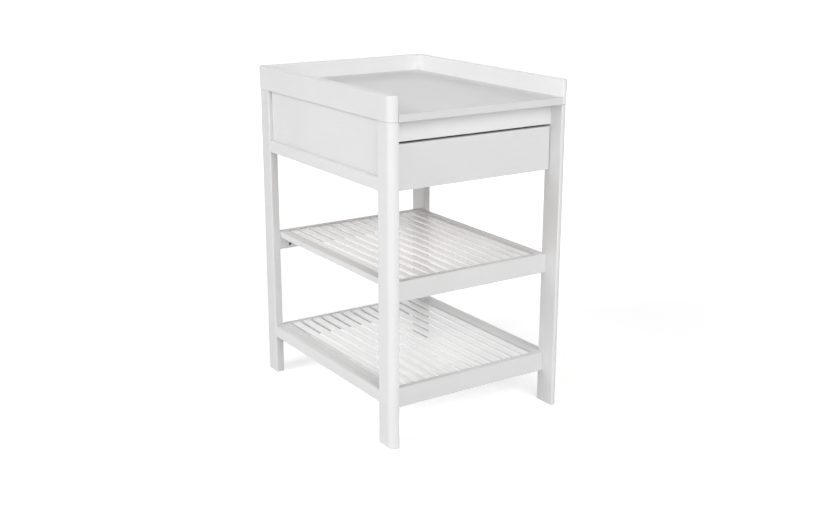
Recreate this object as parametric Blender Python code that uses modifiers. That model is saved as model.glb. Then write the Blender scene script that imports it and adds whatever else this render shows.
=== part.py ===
"""Changing table: an open-fronted tray on four board legs, one drawer and two slatted shelves.

Metres, +Z up. The origin is on the floor, under the middle of the table, and the front faces -Y.
Every piece of wood is its own object. Only the drawer moves: it slides out along -Y.
"""

from math import pi, radians

import bmesh
import bpy
from mathutils import Matrix, Vector

# Overall size, over the legs
WIDTH = 0.576
DEPTH = 0.736
HEIGHT = 0.950

# Space between pieces that touch
GAP = 0.0003

# Points closer than this are in one place
TOUCHING = 1e-6

# Edges that turn by more than this are softened and shaded as edges
EDGE_ANGLE = radians(35)

# Radii of softened edges
SMALL_EDGE = 0.001
BOARD_EDGE = 0.0015
RAIL_EDGE = 0.002

# Legs: upright boards, with the outer corner at the table's end rounded to a quarter circle
LEG_THICKNESS = 0.025
LEG_DEPTH = 0.066
LEG_END_RADIUS = 0.023
LEG_SIDE_RADIUS = 0.004
LEG_END_STEPS = 20
LEG_SIDE_STEPS = 6

# Tray
RIM_THICKNESS = 0.025
RIM_HEIGHT = 0.067
RIM_OVERHANG = 0.002
RIM_EDGE_RADIUS = 0.003
FLOOR_THICKNESS = 0.020

# Rails, apron and drawer front stand in one plane, back from the ends of the legs
RAIL_SETBACK = 0.046
RAIL_THICKNESS = 0.018
APRON_HEIGHT = 0.059
FINGER_GAP = 0.006

# Sides under the tray
SIDE_RAIL_BOTTOM = 0.6995
SIDE_RAIL_HEIGHT = 0.036
SIDE_RAIL_INSET = 0.002
SIDE_RAIL_TOP_RADIUS = 0.006
SIDE_RAIL_TOP_STEPS = 8
PANEL_THICKNESS = 0.013
PANEL_REBATE = 0.006
BACK_PANEL_BOTTOM = 0.6995

# Shelves
SHELF_TOPS = {"lower": 0.1525, "middle": 0.4525}
SHELF_RAIL_HEIGHT = 0.0565
STILE_WIDTH = 0.026
STILE_THICKNESS = 0.018
SLAT_COUNT = 13
SLAT_WIDTH = 0.023
SLAT_THICKNESS = 0.007
SLAT_EDGE_RADIUS = 0.002
SLAT_PITCH = 0.0361
SLAT_DROPS = {"lower": 0.0, "middle": 0.0025}
LOWER_SIDE_RAIL_HEIGHT = 0.035

# Barrel-nut holes in the inner faces of the shelf rails
NUT_HOLE_RADIUS = 0.005
NUT_HOLE_STEPS = 24
NUT_HOLE_DEPTH = 0.013
NUT_HOLE_FROM_END = 0.0345
NUT_HOLE_ABOVE_RAIL_BOTTOM = 0.012

# Drawer
DRAWER_FRONT_BOTTOM = 0.696
DRAWER_FRONT_SIDE_GAP = 0.0015
DRAWER_SIDE_GAP = 0.002
DRAWER_WALL = 0.012
DRAWER_BOX_HEIGHT = 0.0875
DRAWER_BOX_BACK = 0.282
DRAWER_BOTTOM_THICKNESS = 0.004
DRAWER_BOTTOM_RISE = 0.008
DRAWER_GROOVE_DEPTH = 0.004
RUNNER_WIDTH = 0.0197
RUNNER_HEIGHT = 0.0122
KICKER_CLEARANCE = 0.002
KICKER_HEIGHT = 0.017

# Places that follow
LEG_OUT = WIDTH / 2
LEG_IN = LEG_OUT - LEG_THICKNESS
END = DEPTH / 2
LEG_INNER_END = END - LEG_DEPTH
TRAY_BOTTOM = HEIGHT - RIM_HEIGHT
RIM_OUT = LEG_OUT + RIM_OVERHANG
RIM_IN = RIM_OUT - RIM_THICKNESS
RAIL_OUT = END - RAIL_SETBACK
RAIL_IN = RAIL_OUT - RAIL_THICKNESS
BETWEEN_LEGS_X = LEG_IN - GAP
BETWEEN_LEGS_Y = LEG_INNER_END - GAP
BETWEEN_RAILS_Y = RAIL_IN - GAP
UNDER_TRAY = TRAY_BOTTOM - GAP
APRON_BOTTOM = TRAY_BOTTOM - APRON_HEIGHT
SIDE_RAIL_TOP = SIDE_RAIL_BOTTOM + SIDE_RAIL_HEIGHT
DRAWER_BOX_BOTTOM = SIDE_RAIL_BOTTOM + RUNNER_HEIGHT + GAP
DRAWER_BOX_TOP = DRAWER_BOX_BOTTOM + DRAWER_BOX_HEIGHT
DRAWER_OUT = LEG_IN - DRAWER_SIDE_GAP
DRAWER_IN = DRAWER_OUT - DRAWER_WALL
GROOVE_OUT = DRAWER_IN + DRAWER_GROOVE_DEPTH
DRAWER_FLOOR = DRAWER_BOX_BOTTOM + DRAWER_BOTTOM_RISE

SIDES = {"left": -1, "right": 1}
ENDS = {"front": -1, "rear": 1}

# Pairs of axes that an edge can cross
XY = (0, 1)
XZ = (0, 2)

# Faces of a board, as (axis, side)
X_FACES = ((0, -1), (0, 1))
Y_FACES = ((1, -1), (1, 1))
REAR_FACE = (1, 1)
TOP_FACE = (2, 1)


def clear_scene():
    for obj in list(bpy.data.objects):
        bpy.data.objects.remove(obj, do_unlink=True)


def make_material(name, colour, roughness, metallic=0.0):
    material = bpy.data.materials.new(name)
    material.use_nodes = True
    shader = material.node_tree.nodes["Principled BSDF"]
    shader.inputs["Base Color"].default_value = (*colour, 1.0)
    shader.inputs["Roughness"].default_value = roughness
    shader.inputs["Metallic"].default_value = metallic
    return material


def new_collection(name):
    collection = bpy.data.collections.new(name)
    bpy.context.scene.collection.children.link(collection)
    return collection


def span(side, inner, outer):
    """The two ends of an interval on one side of the middle, lowest first."""
    return tuple(sorted((side * inner, side * outer)))


def set_edge_weights(bm, half, square):
    """Weight 1 on each edge to soften: the real edges that aren't round a square-cut face."""
    weight = bm.edges.layers.float.new("bevel_weight_edge")
    for edge in bm.edges:
        first, second = (v.co for v in edge.verts)
        kept = any(
            abs(side * first[axis] - half[axis]) < TOUCHING
            and abs(side * second[axis] - half[axis]) < TOUCHING
            for axis, side in square
        )
        edge[weight] = float(not kept and edge.calc_face_angle() > EDGE_ANGLE)


def round_edge(bm, axes, at, radius, steps):
    """Rounds the straight edge that crosses the plane of two axes at this point."""
    found = [
        edge
        for edge in bm.edges
        if all(abs(v.co[axis] - c) < TOUCHING for v in edge.verts for axis, c in zip(axes, at))
    ]
    bmesh.ops.bevel(bm, geom=found, offset=radius, segments=steps, affect="EDGES", profile=0.5)


def board(name, x, y, z, material, edge=SMALL_EDGE, segments=1, rounded=(), square=()):
    """A board between (low, high) pairs of x, y and z, with softened edges.

    Each of rounded, (axes, point, radius, steps), rounds one edge further.
    The edges of a square (axis, side) face, which meets another board, stay sharp.
    """
    low = Vector((x[0], y[0], z[0]))
    high = Vector((x[1], y[1], z[1]))
    centre = (low + high) / 2
    mesh = bpy.data.meshes.new(name)
    bm = bmesh.new()
    bmesh.ops.create_cube(bm, size=1.0, matrix=Matrix.LocRotScale(None, None, high - low))
    for axes, point, radius, steps in rounded:
        at = [value - centre[axis] for axis, value in zip(axes, point)]
        round_edge(bm, axes, at, radius, steps)
    set_edge_weights(bm, (high - low) / 2, square)
    bm.to_mesh(mesh)
    bm.free()
    mesh.shade_smooth()
    mesh.set_sharp_from_angle(angle=EDGE_ANGLE)
    mesh.materials.append(material)
    obj = bpy.data.objects.new(name, mesh)
    obj.location = centre
    PARTS.objects.link(obj)
    if edge:
        bevel = obj.modifiers.new("soft edges", "BEVEL")
        bevel.width = edge
        bevel.segments = segments
        bevel.limit_method = "WEIGHT"
    return obj


def cut(obj, cutter):
    """Cuts with a hidden object, after the edges are softened."""
    boolean = obj.modifiers.new("cut", "BOOLEAN")
    boolean.operation = "DIFFERENCE"
    boolean.object = cutter


def hide_cutter(obj):
    """Keeps a cutter out of the table."""
    obj.hide_render = True
    obj.display_type = "WIRE"
    for collection in list(obj.users_collection):
        collection.objects.unlink(obj)
    CUTTERS.objects.link(obj)


def leg(name, side, end):
    return board(
        name,
        span(side, LEG_IN, LEG_OUT),
        span(end, LEG_INNER_END, END),
        (0.0, UNDER_TRAY),
        WHITE_WOOD,
        rounded=(
            (XY, (side * LEG_OUT, end * END), LEG_END_RADIUS, LEG_END_STEPS),
            (XY, (side * LEG_OUT, end * LEG_INNER_END), LEG_SIDE_RADIUS, LEG_SIDE_STEPS),
        ),
        square=(TOP_FACE,),
    )


def side_rim(name, side):
    """Runs the full depth; its outer end corners follow the legs' rounding."""
    return board(
        name,
        span(side, RIM_IN, RIM_OUT),
        (-END, END),
        (TRAY_BOTTOM, HEIGHT),
        WHITE_WOOD,
        edge=RIM_EDGE_RADIUS,
        segments=3,
        rounded=[
            (XY, (side * RIM_OUT, end * END), LEG_END_RADIUS, LEG_END_STEPS)
            for end in ENDS.values()
        ],
    )


def back_rim(name):
    inside = RIM_IN - GAP
    return board(
        name,
        (-inside, inside),
        (END - RIM_THICKNESS, END),
        (TRAY_BOTTOM, HEIGHT),
        WHITE_WOOD,
        edge=RIM_EDGE_RADIUS,
        segments=3,
        square=X_FACES,
    )


def tray_floor(name):
    inside = RIM_IN - GAP
    return board(
        name,
        (-inside, inside),
        (-END, END - RIM_THICKNESS - GAP),
        (TRAY_BOTTOM, TRAY_BOTTOM + FLOOR_THICKNESS),
        WHITE_WOOD,
        edge=BOARD_EDGE,
        segments=2,
        square=(*X_FACES, REAR_FACE),
    )


def side_panel_size(side, clearance):
    """Its (low, high) pairs of x, y and z: it stands in a rebate in the side rail's top."""
    x = span(side, LEG_IN - clearance, LEG_IN + PANEL_THICKNESS + clearance)
    y = BETWEEN_LEGS_Y + clearance
    z = (SIDE_RAIL_TOP - PANEL_REBATE - clearance, UNDER_TRAY + clearance)
    return x, (-y, y), z


def panelled_side(name, side):
    """A panel set back from the legs' outer faces, under the tray, and the rail it stands in."""
    board(f"{name}_side_panel", *side_panel_size(side, 0.0), WHITE_WOOD, edge=0.0)
    rail = side_rail(f"{name}_upper_rail", side, SIDE_RAIL_BOTTOM, SIDE_RAIL_HEIGHT)
    rebate = board(f"{name}_rebate", *side_panel_size(side, GAP), WHITE_WOOD, edge=0.0)
    hide_cutter(rebate)
    cut(rail, rebate)


def side_rail(name, side, bottom, height):
    """Its upper outer edge is rounded further than the others."""
    outside = LEG_OUT - SIDE_RAIL_INSET
    top = bottom + height
    return board(
        name,
        span(side, LEG_IN, outside),
        (-BETWEEN_LEGS_Y, BETWEEN_LEGS_Y),
        (bottom, top),
        WHITE_WOOD,
        edge=RAIL_EDGE,
        segments=2,
        rounded=((XZ, (side * outside, top), SIDE_RAIL_TOP_RADIUS, SIDE_RAIL_TOP_STEPS),),
        square=Y_FACES,
    )


def cross_board(name, end, bottom, top):
    """A board between two legs at one end, in the plane of the rails."""
    return board(
        name,
        (-BETWEEN_LEGS_X, BETWEEN_LEGS_X),
        span(end, RAIL_IN, RAIL_OUT),
        (bottom, top),
        WHITE_WOOD,
        edge=BOARD_EDGE,
        segments=2,
        square=X_FACES,
    )


def nut_hole_cutter(name, x, end, z):
    """A round bar that enters a rail from its inner face."""
    length = 2 * NUT_HOLE_DEPTH
    bm = bmesh.new()
    bmesh.ops.create_cone(
        bm,
        cap_ends=True,
        segments=NUT_HOLE_STEPS,
        radius1=NUT_HOLE_RADIUS,
        radius2=NUT_HOLE_RADIUS,
        depth=length,
        matrix=Matrix.Rotation(pi / 2, 4, "X"),
    )
    mesh = bpy.data.meshes.new(name)
    bm.to_mesh(mesh)
    bm.free()
    obj = bpy.data.objects.new(name, mesh)
    obj.location = (x, end * RAIL_IN, z)
    hide_cutter(obj)
    return obj


def shelf_rail(name, end, top):
    bottom = top - SHELF_RAIL_HEIGHT
    rail = cross_board(name, end, bottom, top)
    for side_name, side in SIDES.items():
        x = side * (LEG_IN - NUT_HOLE_FROM_END)
        z = bottom + NUT_HOLE_ABOVE_RAIL_BOTTOM
        cut(rail, nut_hole_cutter(f"{name}_{side_name}_hole", x, end, z))


def shelf_stile(name, side, top):
    """The flat edge board that closes the row of slats at one side."""
    return board(
        name,
        span(side, BETWEEN_LEGS_X - STILE_WIDTH, BETWEEN_LEGS_X),
        (-BETWEEN_RAILS_Y, BETWEEN_RAILS_Y),
        (top - STILE_THICKNESS, top),
        WHITE_WOOD,
        edge=BOARD_EDGE,
        segments=2,
        square=Y_FACES,
    )


def slat(name, x, top):
    return board(
        name,
        (x - SLAT_WIDTH / 2, x + SLAT_WIDTH / 2),
        (-BETWEEN_RAILS_Y, BETWEEN_RAILS_Y),
        (top - SLAT_THICKNESS, top),
        WHITE_WOOD,
        edge=SLAT_EDGE_RADIUS,
        segments=3,
        square=Y_FACES,
    )


def shelf(name, top):
    for end_name, end in ENDS.items():
        shelf_rail(f"{name}_shelf_{end_name}_rail", end, top)
    for side_name, side in SIDES.items():
        shelf_stile(f"{name}_shelf_{side_name}_stile", side, top)
    first = -SLAT_PITCH * (SLAT_COUNT - 1) / 2
    slat_top = top - SLAT_DROPS[name]
    for i in range(SLAT_COUNT):
        slat(f"{name}_shelf_slat_{i + 1:02d}", first + i * SLAT_PITCH, slat_top)


def drawer_front(name):
    inside = LEG_IN - DRAWER_FRONT_SIDE_GAP
    return board(
        name,
        (-inside, inside),
        (-RAIL_OUT, -RAIL_IN),
        (DRAWER_FRONT_BOTTOM, APRON_BOTTOM - FINGER_GAP),
        WHITE_WOOD,
        edge=BOARD_EDGE,
        segments=2,
    )


def drawer_side(name, side):
    return board(
        name,
        span(side, DRAWER_IN, DRAWER_OUT),
        (-BETWEEN_RAILS_Y, DRAWER_BOX_BACK),
        (DRAWER_BOX_BOTTOM, DRAWER_BOX_TOP),
        WHITE_WOOD,
    )


def drawer_back(name):
    inside = DRAWER_IN - GAP
    return board(
        name,
        (-inside, inside),
        (DRAWER_BOX_BACK - DRAWER_WALL, DRAWER_BOX_BACK),
        (DRAWER_BOX_BOTTOM, DRAWER_BOX_TOP),
        WHITE_WOOD,
    )


def drawer_bottom_size(clearance):
    """Its (low, high) pairs of x, y and z: it stands in grooves in the front, sides and back."""
    x = GROOVE_OUT + clearance
    y = (
        -RAIL_IN - DRAWER_GROOVE_DEPTH - clearance,
        DRAWER_BOX_BACK - DRAWER_WALL + DRAWER_GROOVE_DEPTH + clearance,
    )
    z = (DRAWER_FLOOR - clearance, DRAWER_FLOOR + DRAWER_BOTTOM_THICKNESS + clearance)
    return (-x, x), y, z


def drawer():
    walls = [
        drawer_front("drawer_front"),
        drawer_side("drawer_left_side", SIDES["left"]),
        drawer_side("drawer_right_side", SIDES["right"]),
        drawer_back("drawer_back"),
    ]
    board("drawer_bottom", *drawer_bottom_size(0.0), HARDBOARD, edge=0.0)
    groove = board("drawer_bottom_groove", *drawer_bottom_size(GAP), HARDBOARD, edge=0.0)
    hide_cutter(groove)
    for wall in walls:
        cut(wall, groove)


def drawer_guide(name, side, bottom, height):
    """A strip along one side: the drawer slides on the runner, and the kicker keeps it level."""
    return board(
        name,
        span(side, BETWEEN_LEGS_X - RUNNER_WIDTH, BETWEEN_LEGS_X),
        (-BETWEEN_RAILS_Y, BETWEEN_RAILS_Y),
        (bottom, bottom + height),
        BARE_WOOD,
    )


def build():
    for end_name, end in ENDS.items():
        for side_name, side in SIDES.items():
            leg(f"leg_{end_name}_{side_name}", side, end)
    for side_name, side in SIDES.items():
        side_rim(f"tray_{side_name}_rim", side)
        panelled_side(side_name, side)
        side_rail(
            f"{side_name}_lower_rail",
            side,
            SHELF_TOPS["lower"] - LOWER_SIDE_RAIL_HEIGHT,
            LOWER_SIDE_RAIL_HEIGHT,
        )
        drawer_guide(f"drawer_{side_name}_runner", side, SIDE_RAIL_BOTTOM, RUNNER_HEIGHT)
        kicker_bottom = DRAWER_BOX_TOP + KICKER_CLEARANCE
        drawer_guide(f"drawer_{side_name}_kicker", side, kicker_bottom, KICKER_HEIGHT)
    back_rim("tray_back_rim")
    tray_floor("tray_floor")
    cross_board("front_apron", ENDS["front"], APRON_BOTTOM, UNDER_TRAY)
    cross_board("back_panel", ENDS["rear"], BACK_PANEL_BOTTOM, UNDER_TRAY)
    for name, top in SHELF_TOPS.items():
        shelf(name, top)
    drawer()


clear_scene()
PARTS = new_collection("changing_table")
CUTTERS = new_collection("cutters")
WHITE_WOOD = make_material("white lacquered wood", (0.80, 0.80, 0.79), 0.38)
BARE_WOOD = make_material("bare beech", (0.62, 0.45, 0.28), 0.6)
HARDBOARD = make_material("white faced hardboard", (0.78, 0.78, 0.76), 0.5)
build()
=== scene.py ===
"""Looks of the changing table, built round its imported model.

Metres, +Z up, front towards -Y, as in the model. The wood stays the model's own pieces,
with finer shading and finished materials; the metal barrel nuts in the shelf rails are added.
"""

from math import cos, pi, radians, sin

import bmesh
import bpy
from mathutils import Matrix, Vector


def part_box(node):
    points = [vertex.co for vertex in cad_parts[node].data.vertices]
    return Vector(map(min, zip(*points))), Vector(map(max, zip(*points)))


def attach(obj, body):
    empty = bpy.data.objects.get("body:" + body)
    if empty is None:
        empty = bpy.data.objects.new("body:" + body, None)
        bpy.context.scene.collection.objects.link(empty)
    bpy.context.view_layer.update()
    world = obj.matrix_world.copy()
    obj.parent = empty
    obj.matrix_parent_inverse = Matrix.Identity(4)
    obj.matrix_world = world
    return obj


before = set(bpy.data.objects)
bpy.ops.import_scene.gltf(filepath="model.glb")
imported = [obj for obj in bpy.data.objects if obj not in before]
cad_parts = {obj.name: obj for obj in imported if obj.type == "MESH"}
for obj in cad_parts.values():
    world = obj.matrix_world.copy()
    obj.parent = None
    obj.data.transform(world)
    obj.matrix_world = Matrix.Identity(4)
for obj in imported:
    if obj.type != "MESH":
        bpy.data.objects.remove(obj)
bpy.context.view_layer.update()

# Camera
SENSOR_WIDTH = 36.0
LENS = 51.24
CLIP_END = 100.0
CAMERA_AT = (-1.8173, -2.7843, 1.3778)
CAMERA_YAW = radians(33.341)
CAMERA_PITCH = radians(16.271)
CAMERA_ROLL = radians(0.093)

# Light: soft boxes as (azimuth from -X towards -Y, elevation, distance, size, power)
SOFT_BOXES = {
    "left": (radians(0.0), radians(28.0), 9.0, 4.8, 400.0),
    "front": (radians(79.0), radians(27.0), 9.0, 4.8, 412.0),
    "top": (0.0, radians(90.0), 7.0, 5.0, 85.0),
    "backdrop": (radians(236.7), radians(14.0), 6.0, 5.5, 80.0),
}
# The middle of the table, which the soft boxes look at
AIM = Vector((0.0, 0.0, 0.5))
# The world's strength is WORLD_LOW where a direction's Z is under the first of WORLD_TURNS,
# and WORLD_HIGH where it is over the second
WORLD_LOW = 0.69
WORLD_HIGH = 0.02
WORLD_TURNS = (0.35, 0.65)

# Floor: its glow rises from near to far between two distances from the table
FLOOR_HALF_WIDTH = 40.0
FLOOR_NEAR = 1.0
FLOOR_FAR = 5.0
FLOOR_GLOW = 0.42
FLOOR_FAR_GLOW = 0.85

# How much light the lacquer returns. The slats are toned whiter than the rest as painted light
# on shelves that lie in the tray's shade, and have a glossier coat; a few boards are toned
# lighter or darker than the others as painted light and shade, by how light falls on each.
FRAME_TONE = 0.70
SLAT_TONE_PAINTED_LIGHT = 0.90
SLAT_GLOSS = 1.0
SLAT_COAT_IOR = 1.6
SLAT_COAT_ROUGHNESS = 0.42
BOARD_TONES_PAINTED_LIGHT_AND_SHADE = {
    "tray_floor": 0.66,
    "tray_right_rim": 0.83,
    "tray_back_rim": 0.83,
    "leg_rear_left": 0.66,
    "leg_front_right": 0.77,
    "front_apron": 0.75,
}
# Wear on edges: its width, and the dot products of the true normal with one softened over
# that width that count as flat and as edge
WEAR_WIDTH = 0.0014
FLAT_AGREEMENT = 0.995
EDGE_AGREEMENT = 0.85

# Grain: the length and the width of its features
LACQUER_GRAIN = (0.11, 0.0022)
BEECH_LINES = (0.16, 0.0016)
BEECH_BANDS = (0.6, 0.012)
BEECH_FLECKS = (0.0035, 0.0006)

# Colours
BEECH_DARK_BAND = (0.500, 0.330, 0.190, 1.0)
BEECH_PALE_BAND = (0.610, 0.430, 0.270, 1.0)
BEECH_LINE = (0.360, 0.215, 0.115, 1.0)
BEECH_FLECK = (0.270, 0.150, 0.075, 1.0)
FIBRE_DARK = (0.150, 0.082, 0.042, 1.0)
FIBRE_PALE = (0.330, 0.200, 0.115, 1.0)
FACING_DARK = (0.780, 0.778, 0.770, 1.0)
FACING_PALE = (0.820, 0.820, 0.815, 1.0)
ZINC_DARK = (0.480, 0.485, 0.490, 1.0)
ZINC_PALE = (0.660, 0.660, 0.640, 1.0)

# Barrel nuts
NUT_RADIUS = 0.0047
NUT_LENGTH = 0.0045
NUT_RECESS = 0.0083
NUT_SIDES = 32
NUT_EDGE = 0.0005
NUT_EDGE_STEPS = 2
NUT_SLOT_WIDTH = 0.0012
NUT_SLOT_DEPTH = 0.0011
# Each nut is turned this far round from the one before, as if set by hand
NUT_TURN = 1.1
NUT_HOLE_FROM_END = 0.0345
NUT_HOLE_ABOVE_RAIL_BOTTOM = 0.012

# Edges that turn by more than this are shaded as edges
EDGE_ANGLE = radians(32)
WELD_DISTANCE = 1e-5


class Graph:
    """A material's node tree, with short calls for adding nodes."""

    def __init__(self, name):
        self.material = bpy.data.materials.new(name)
        self.material.use_nodes = True
        self.tree = self.material.node_tree
        self.shader = self.tree.nodes["Principled BSDF"]
        self.place = self.add("ShaderNodeTexCoord").outputs["Object"]

    def add(self, kind, inputs=None, **settings):
        node = self.tree.nodes.new(kind)
        for key, value in settings.items():
            setattr(node, key, value)
        for key, value in (inputs or {}).items():
            self.put(node.inputs[key], value)
        return node

    def put(self, socket, value):
        if isinstance(value, bpy.types.NodeSocket):
            self.tree.links.new(value, socket)
        else:
            socket.default_value = value

    def finish(self, **inputs):
        for key, value in inputs.items():
            self.put(self.shader.inputs[key.replace("_", " ")], value)
        return self.material

    def stretched(self, along, grain):
        """Places scaled so that noise has the grain's length along one axis."""
        length, width = grain
        scale = tuple(1 / (length if axis == along else width) for axis in range(3))
        return self.add("ShaderNodeMapping", {"Vector": self.place, "Scale": scale}).outputs[0]

    def noise(self, place, scale, detail=2.0, roughness=0.5):
        inputs = {"Vector": place, "Scale": scale, "Detail": detail, "Roughness": roughness}
        return self.add("ShaderNodeTexNoise", inputs).outputs["Fac"]

    def ranged(self, value, low, high, to_low=0.0, to_high=1.0):
        inputs = {
            "Value": value,
            "From Min": low,
            "From Max": high,
            "To Min": to_low,
            "To Max": to_high,
        }
        return self.add("ShaderNodeMapRange", inputs).outputs["Result"]

    def math(self, operation, first, second):
        node = self.add("ShaderNodeMath", {0: first, 1: second}, operation=operation)
        return node.outputs[0]

    def mixed(self, factor, first, second):
        node = self.add("ShaderNodeMix", data_type="RGBA")
        # Sockets are numbered, because the node names them alike for each type of data
        self.put(node.inputs[0], factor)
        self.put(node.inputs[6], first)
        self.put(node.inputs[7], second)
        return node.outputs[2]

    def bump(self, height, distance, strength=1.0, normal=None):
        inputs = {"Height": height, "Distance": distance, "Strength": strength}
        if normal:
            inputs["Normal"] = normal
        return self.add("ShaderNodeBump", inputs).outputs[0]

    def edges(self, width):
        """0 on flat faces, rising to 1 on edges within this width."""
        soft = self.add("ShaderNodeBevel", {"Radius": width}, samples=4).outputs[0]
        flat = self.add("ShaderNodeNewGeometry").outputs["Normal"]
        dot = self.add("ShaderNodeVectorMath", {0: soft, 1: flat}, operation="DOT_PRODUCT")
        return self.ranged(dot.outputs["Value"], FLAT_AGREEMENT, EDGE_AGREEMENT)


def shade(value, warmth=1.0):
    """A grey; a warmth below 1 takes that share of its blue."""
    return (value, value * (1 + warmth) / 2, value * warmth, 1.0)


def lacquer(name, along, tone=FRAME_TONE, gloss=0.0):
    """White satin lacquer over close-grained wood, with the grain along one axis.

    The tone scales how much light the lacquer returns.
    """
    g = Graph(name)
    cloud = g.noise(g.place, 5.0, detail=3.0)
    grain = g.noise(g.stretched(along, LACQUER_GRAIN), 1.0, detail=4.0, roughness=0.6)
    peel = g.noise(g.place, 700.0, detail=1.0)
    wear = g.noise(g.place, 160.0, detail=3.0, roughness=0.65)
    worn = g.math("MULTIPLY", g.edges(WEAR_WIDTH), g.ranged(wear, 0.42, 0.72))
    toned = g.mixed(g.ranged(cloud, 0.3, 0.7), shade(0.985 * tone), shade(1.015 * tone))
    lined = g.mixed(g.ranged(grain, 0.35, 0.75, 0.0, 0.30), toned, shade(0.935 * tone, 0.985))
    colour = g.mixed(g.math("MULTIPLY", worn, 0.5), lined, shade(0.85 * tone, 0.93))
    rough = g.ranged(cloud, 0.3, 0.7, 0.36, 0.46)
    rough = g.math("ADD", rough, g.ranged(grain, 0.3, 0.8, -0.02, 0.05))
    relief = g.bump(grain, 0.00012, 0.5)
    relief = g.bump(peel, 0.00004, 0.35, relief)
    g.shader.inputs["Coat Weight"].default_value = gloss
    g.shader.inputs["Coat Roughness"].default_value = SLAT_COAT_ROUGHNESS
    g.shader.inputs["Coat IOR"].default_value = SLAT_COAT_IOR
    return g.finish(Base_Color=colour, Roughness=rough, Normal=relief)


def bare_wood(name, along):
    """Bare beech: pale brown, close lines along the board and short darker flecks."""
    g = Graph(name)
    lines = g.noise(g.stretched(along, BEECH_LINES), 1.0, detail=5.0, roughness=0.65)
    bands = g.noise(g.stretched(along, BEECH_BANDS), 1.0)
    flecks = g.noise(g.stretched(along, BEECH_FLECKS), 1.0, detail=1.0)
    base = g.mixed(g.ranged(bands, 0.3, 0.7), BEECH_DARK_BAND, BEECH_PALE_BAND)
    lined = g.mixed(g.ranged(lines, 0.4, 0.75, 0.0, 0.7), base, BEECH_LINE)
    colour = g.mixed(g.ranged(flecks, 0.64, 0.74, 0.0, 0.6), lined, BEECH_FLECK)
    rough = g.ranged(lines, 0.3, 0.8, 0.52, 0.70)
    relief = g.bump(lines, 0.00025, 0.6)
    relief = g.bump(flecks, 0.0001, 0.4, relief)
    return g.finish(Base_Color=colour, Roughness=rough, Normal=relief)


def faced_board(name):
    """Hardboard, white on its upper face and brown fibres elsewhere."""
    g = Graph(name)
    up = g.add("ShaderNodeSeparateXYZ", {0: g.add("ShaderNodeTexCoord").outputs["Normal"]})
    faced = g.ranged(up.outputs["Z"], 0.5, 0.9)
    fibre = g.noise(g.place, 380.0, detail=5.0, roughness=0.7)
    cloud = g.noise(g.place, 9.0)
    brown = g.mixed(g.ranged(fibre, 0.35, 0.7), FIBRE_DARK, FIBRE_PALE)
    white = g.mixed(g.ranged(cloud, 0.3, 0.7), FACING_DARK, FACING_PALE)
    colour = g.mixed(faced, brown, white)
    rough = g.ranged(faced, 0.0, 1.0, 0.80, 0.42)
    rough = g.math("ADD", rough, g.ranged(fibre, 0.3, 0.7, -0.04, 0.04))
    return g.finish(Base_Color=colour, Roughness=rough, Normal=g.bump(fibre, 0.0001, 0.4))


def plated_steel(name):
    """Zinc-plated steel with fine turned lines and a dull, cloudy bloom."""
    g = Graph(name)
    bloom = g.noise(g.place, 420.0, detail=3.0)
    inputs = {"Vector": g.place, "Scale": 900.0, "Distortion": 1.5}
    turned = g.add("ShaderNodeTexWave", inputs, bands_direction="Z")
    colour = g.mixed(g.ranged(bloom, 0.3, 0.7), ZINC_DARK, ZINC_PALE)
    rough = g.ranged(bloom, 0.3, 0.7, 0.28, 0.46)
    relief = g.bump(turned.outputs["Fac"], 0.00003, 0.3)
    g.shader.inputs["Metallic"].default_value = 1.0
    return g.finish(Base_Color=colour, Roughness=rough, Normal=relief)


def studio_floor(name):
    """Matt pale floor, lifted towards white as a separately lit studio sweep is.

    The camera sees the lift, but it lights nothing, so the table's own shading stays.
    """
    g = Graph(name)
    cloud = g.noise(g.place, 0.8)
    colour = g.mixed(g.ranged(cloud, 0.3, 0.7), shade(0.90), shade(0.92))
    seen = g.add("ShaderNodeLightPath").outputs["Is Camera Ray"]
    away = g.add("ShaderNodeVectorMath", {0: g.place}, operation="LENGTH").outputs["Value"]
    glow = g.ranged(away, FLOOR_NEAR, FLOOR_FAR, FLOOR_GLOW, FLOOR_FAR_GLOW)
    g.put(g.shader.inputs["Emission Strength"], g.math("MULTIPLY", seen, glow))
    g.shader.inputs["Emission Color"].default_value = shade(1.0)
    g.shader.inputs["Specular IOR Level"].default_value = 0.1
    return g.finish(Base_Color=colour, Roughness=g.ranged(cloud, 0.3, 0.7, 0.8, 0.9))


def shading_group():
    """Joins a node's faces, then shades them smooth except across real edges."""
    group = bpy.data.node_groups.new("clean_shading", "GeometryNodeTree")
    group.is_modifier = True
    for way in ("INPUT", "OUTPUT"):
        group.interface.new_socket("Geometry", in_out=way, socket_type="NodeSocketGeometry")
    nodes = group.nodes
    start = nodes.new("NodeGroupInput")
    end = nodes.new("NodeGroupOutput")
    merge = nodes.new("GeometryNodeMergeByDistance")
    merge.inputs["Distance"].default_value = WELD_DISTANCE
    smooth = nodes.new("GeometryNodeSetShadeSmooth")
    smooth.domain = "FACE"
    smooth.inputs["Shade Smooth"].default_value = True
    angle = nodes.new("GeometryNodeInputMeshEdgeAngle")
    over = nodes.new("FunctionNodeCompare")
    over.data_type = "FLOAT"
    over.operation = "GREATER_THAN"
    over.inputs["B"].default_value = EDGE_ANGLE
    sharp = nodes.new("GeometryNodeSetShadeSmooth")
    sharp.domain = "EDGE"
    sharp.inputs["Shade Smooth"].default_value = False
    links = group.links
    links.new(start.outputs[0], merge.inputs["Geometry"])
    links.new(merge.outputs[0], smooth.inputs["Geometry"])
    links.new(smooth.outputs[0], sharp.inputs["Geometry"])
    links.new(angle.outputs["Unsigned Angle"], over.inputs["A"])
    links.new(over.outputs[0], sharp.inputs["Selection"])
    links.new(sharp.outputs[0], end.inputs[0])
    return group


def shade_cleanly(obj, group):
    obj.modifiers.new("clean shading", "NODES").node_group = group
    weighted = obj.modifiers.new("flat faces", "WEIGHTED_NORMAL")
    weighted.mode = "FACE_AREA"
    weighted.keep_sharp = True


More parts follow.
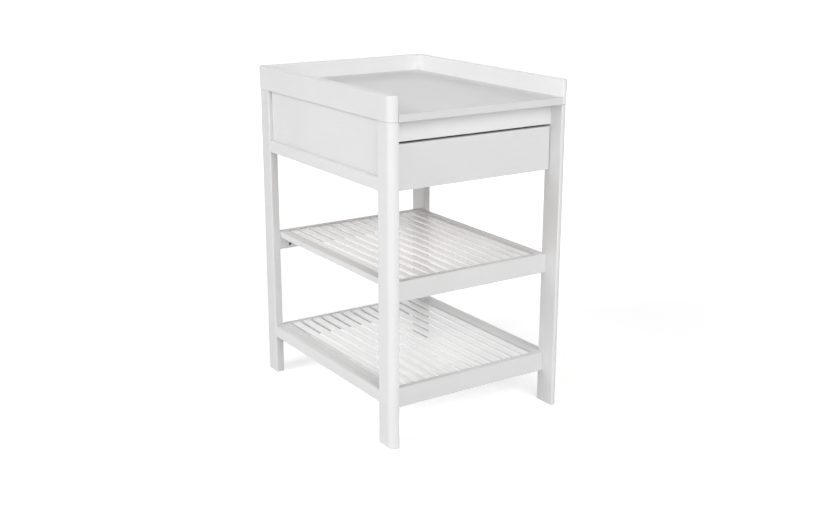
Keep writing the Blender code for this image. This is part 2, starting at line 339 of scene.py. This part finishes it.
def longest_axis(name):
    """The axis that a board's grain runs along."""
    low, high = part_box(name)
    size = high - low
    return max(range(3), key=lambda axis: size[axis])


def finish_wood():
    group = shading_group()
    lacquers = [lacquer(f"white_lacquer_{axis}", i) for i, axis in enumerate("xyz")]
    # The slats' whiter tone is painted light: it brightens shelves that lie in the tray's
    # shade
    slat_lacquer = lacquer("white_lacquer_slats", 1, SLAT_TONE_PAINTED_LIGHT, SLAT_GLOSS)
    beech = bare_wood("beech", 1)
    hardboard = faced_board("faced_hardboard")
    for name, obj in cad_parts.items():
        shade_cleanly(obj, group)
        if name.endswith(("_runner", "_kicker")):
            material = beech
        elif name == "drawer_bottom":
            material = hardboard
        elif "_slat_" in name:
            material = slat_lacquer
        # These boards get painted light and shade: the same lacquer toned lighter or darker by
        # how light falls on each
        elif name in BOARD_TONES_PAINTED_LIGHT_AND_SHADE:
            material = lacquer(f"white_lacquer_{name}", longest_axis(name), BOARD_TONES_PAINTED_LIGHT_AND_SHADE[name])
        else:
            material = lacquers[longest_axis(name)]
        for material_slot in obj.material_slots:
            material_slot.material = material


def barrel_nut_mesh():
    """A turned bar with a screwdriver slot across its outer end, which is at z = 0."""
    bm = bmesh.new()
    bmesh.ops.create_cone(
        bm,
        cap_ends=True,
        segments=NUT_SIDES,
        radius1=NUT_RADIUS,
        radius2=NUT_RADIUS,
        depth=NUT_LENGTH,
        matrix=Matrix.Translation((0, 0, -NUT_LENGTH / 2)),
    )
    rims = [e for e in bm.edges if abs(e.verts[0].co.z - e.verts[1].co.z) < WELD_DISTANCE]
    bmesh.ops.bevel(
        bm, geom=rims, offset=NUT_EDGE, segments=NUT_EDGE_STEPS, affect="EDGES", profile=0.5
    )
    body = bpy.data.meshes.new("nut body")
    bm.to_mesh(body)
    bm.free()
    body.shade_smooth()
    body.set_sharp_from_angle(angle=EDGE_ANGLE)
    bm = bmesh.new()
    # The cutter reaches past the bar on both sides, and as far above its end as into it
    size = (4 * NUT_RADIUS, NUT_SLOT_WIDTH, 2 * NUT_SLOT_DEPTH)
    bmesh.ops.create_cube(bm, size=1.0, matrix=Matrix.Diagonal((*size, 1.0)))
    slot = bpy.data.meshes.new("nut slot")
    bm.to_mesh(slot)
    bm.free()
    bar = bpy.data.objects.new("nut body", body)
    cutter = bpy.data.objects.new("nut slot", slot)
    for obj in (bar, cutter):
        bpy.context.scene.collection.objects.link(obj)
    boolean = bar.modifiers.new("slot", "BOOLEAN")
    boolean.operation = "DIFFERENCE"
    boolean.object = cutter
    graph = bpy.context.evaluated_depsgraph_get()
    mesh = bpy.data.meshes.new_from_object(bar.evaluated_get(graph))
    mesh.name = "barrel_nut"
    for obj in (bar, cutter):
        bpy.data.objects.remove(obj, do_unlink=True)
    return mesh


def add_barrel_nuts():
    mesh = barrel_nut_mesh()
    mesh.materials.clear()
    mesh.materials.append(plated_steel("plated_steel"))
    turn = 0.0
    for shelf in ("lower", "middle"):
        for end_name, inward in (("front", 1), ("rear", -1)):
            low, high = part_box(f"{shelf}_shelf_{end_name}_rail")
            inner_face = high.y if inward > 0 else low.y
            for side_name, side in (("left", -1), ("right", 1)):
                nut = bpy.data.objects.new(f"barrel_nut_{shelf}_{end_name}_{side_name}", mesh)
                leg_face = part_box(f"leg_{end_name}_{side_name}")[1 if side < 0 else 0].x
                nut.location = (
                    leg_face - side * NUT_HOLE_FROM_END,
                    inner_face - inward * NUT_RECESS,
                    low.z + NUT_HOLE_ABOVE_RAIL_BOTTOM,
                )
                turn += NUT_TURN
                facing = Matrix.Rotation(-inward * pi / 2, 4, "X")
                nut.rotation_euler = (facing @ Matrix.Rotation(turn, 4, "Z")).to_euler()
                bpy.context.scene.collection.objects.link(nut)
                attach(nut, "frame")


def add_floor():
    bm = bmesh.new()
    bmesh.ops.create_grid(bm, x_segments=1, y_segments=1, size=FLOOR_HALF_WIDTH)
    mesh = bpy.data.meshes.new("floor")
    bm.to_mesh(mesh)
    bm.free()
    mesh.materials.append(studio_floor("studio_floor"))
    floor = bpy.data.objects.new("floor", mesh)
    bpy.context.scene.collection.objects.link(floor)


def add_area_light(name, azimuth, elevation, distance, size, power):
    """Azimuth is from -X towards -Y; the light looks at the middle of the table."""
    light = bpy.data.lights.new(name, "AREA")
    light.shape = "SQUARE"
    light.size = size
    light.energy = power
    towards = Vector(
        (-cos(azimuth) * cos(elevation), -sin(azimuth) * cos(elevation), sin(elevation))
    )
    obj = bpy.data.objects.new(name, light)
    obj.location = AIM + distance * towards
    obj.rotation_euler = towards.to_track_quat("Z", "Y").to_euler()
    obj.visible_camera = False
    bpy.context.scene.collection.objects.link(obj)


def add_lights():
    """The world gives soft light from low down. The camera sees it white, like the floor."""
    world = bpy.data.worlds.new("studio")
    world.use_nodes = True
    tree = world.node_tree
    direction = tree.nodes.new("ShaderNodeTexCoord").outputs["Generated"]
    height = tree.nodes.new("ShaderNodeSeparateXYZ")
    strength = tree.nodes.new("ShaderNodeMapRange")
    for name, value in zip(
        ("From Min", "From Max", "To Min", "To Max"), (*WORLD_TURNS, WORLD_LOW, WORLD_HIGH)
    ):
        strength.inputs[name].default_value = value
    tree.links.new(direction, height.inputs[0])
    tree.links.new(height.outputs["Z"], strength.inputs["Value"])
    seen = tree.nodes.new("ShaderNodeLightPath").outputs["Is Camera Ray"]
    brighter = tree.nodes.new("ShaderNodeMath")
    brighter.operation = "MAXIMUM"
    tree.links.new(seen, brighter.inputs[0])
    tree.links.new(strength.outputs["Result"], brighter.inputs[1])
    tree.links.new(brighter.outputs[0], tree.nodes["Background"].inputs["Strength"])
    tree.nodes["Background"].inputs["Color"].default_value = shade(1.0)
    bpy.context.scene.world = world
    for name, settings in SOFT_BOXES.items():
        add_area_light(name, *settings)


def add_camera():
    camera = bpy.data.cameras.new("camera")
    camera.sensor_width = SENSOR_WIDTH
    camera.lens = LENS
    camera.clip_end = CLIP_END
    obj = bpy.data.objects.new("camera", camera)
    turn = (
        Matrix.Rotation(-CAMERA_YAW, 4, "Z")
        @ Matrix.Rotation(pi / 2 - CAMERA_PITCH, 4, "X")
        @ Matrix.Rotation(CAMERA_ROLL, 4, "Z")
    )
    obj.matrix_world = Matrix.Translation(CAMERA_AT) @ turn
    bpy.context.scene.collection.objects.link(obj)
    bpy.context.scene.camera = obj


finish_wood()
add_barrel_nuts()
add_floor()
add_lights()
add_camera()
bpy.context.scene.view_settings.view_transform = "Standard"
